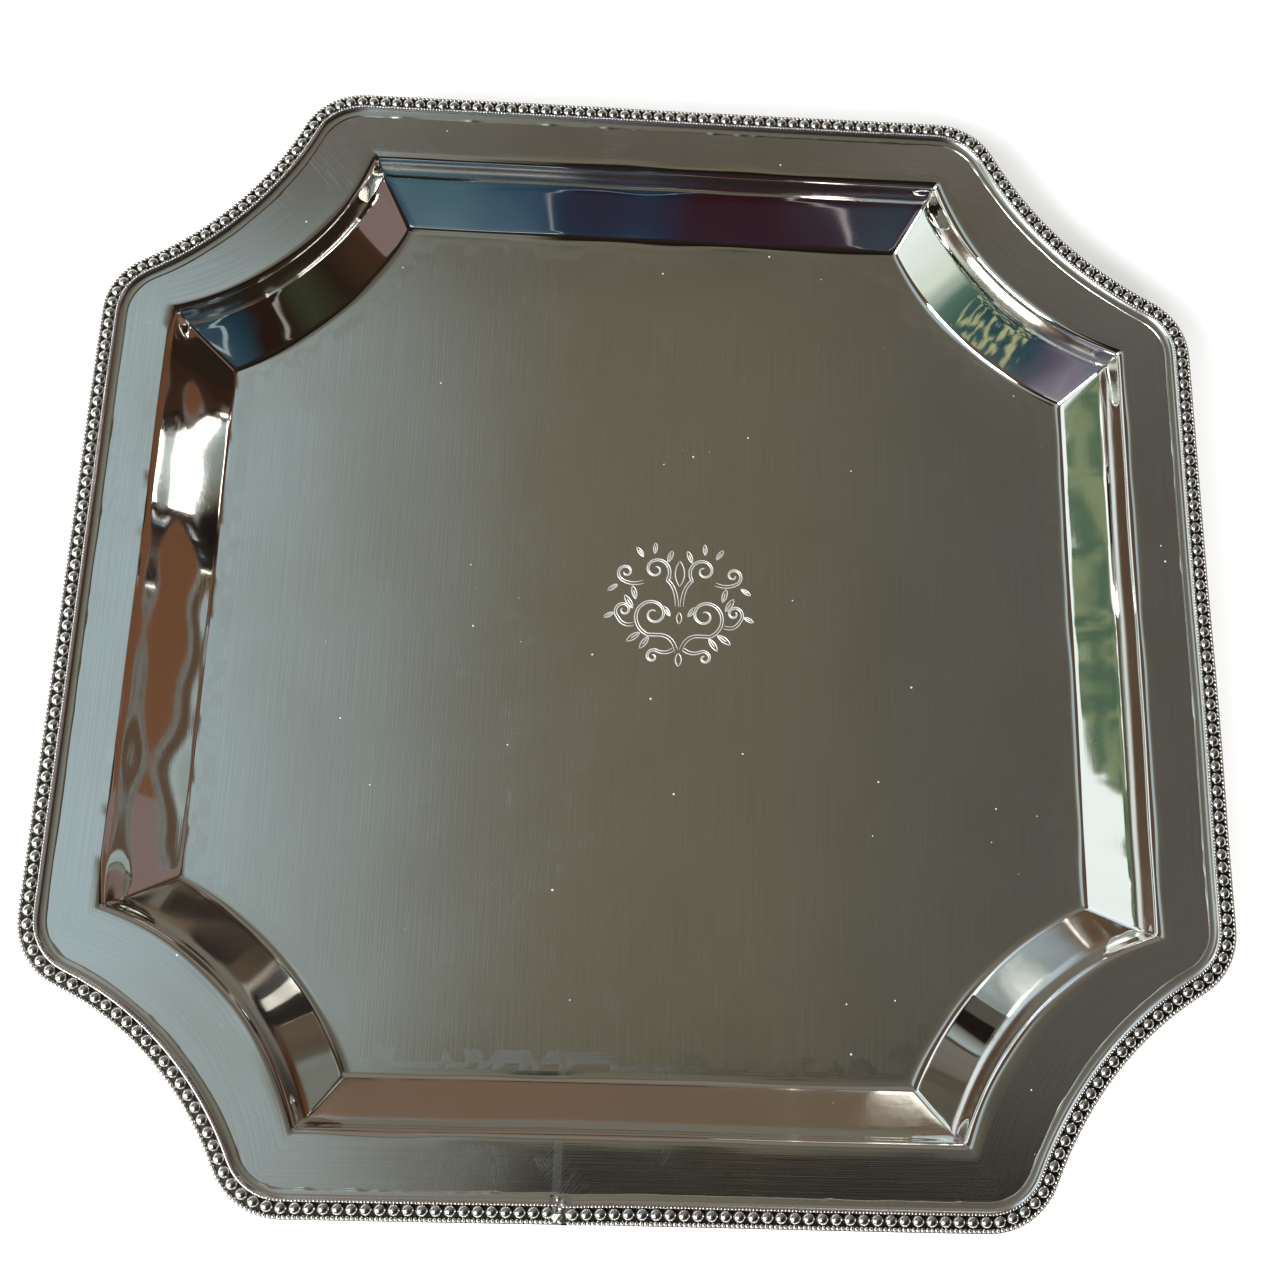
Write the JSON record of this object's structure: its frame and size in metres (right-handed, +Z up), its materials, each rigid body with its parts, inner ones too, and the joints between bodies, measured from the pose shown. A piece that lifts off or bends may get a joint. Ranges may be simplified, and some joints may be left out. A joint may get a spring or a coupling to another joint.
{
  "type": "silver salver",
  "caption": "Square silver salver with incurved corners, a broad flat rim, a steep booge round a flat well, and a beaded border soldered along the edge.",
  "frame": {"origin": "under the middle of the well, on the surface the salver stands on", "axes": "+Z up out of the well, +Y away from the side with the strip's closing joint, +X to the right seen from that side"},
  "size_m": [0.28, 0.28, 0.0206],
  "materials": {
    "raised_sheet": "hand-polished silver: mirror booge, satin rim and well with fine wear scratches",
    "border_strip": "polished high points over dark tarnish in the recesses",
    "solder": "slightly yellower and duller silver solder"
  },
  "bodies": {
    "root": {"tray_body": "raised_sheet", "beaded_border": "border_strip", "border_solder_seam": "solder", "closing_joint_solder": "solder"}
  },
  "joints": []
}
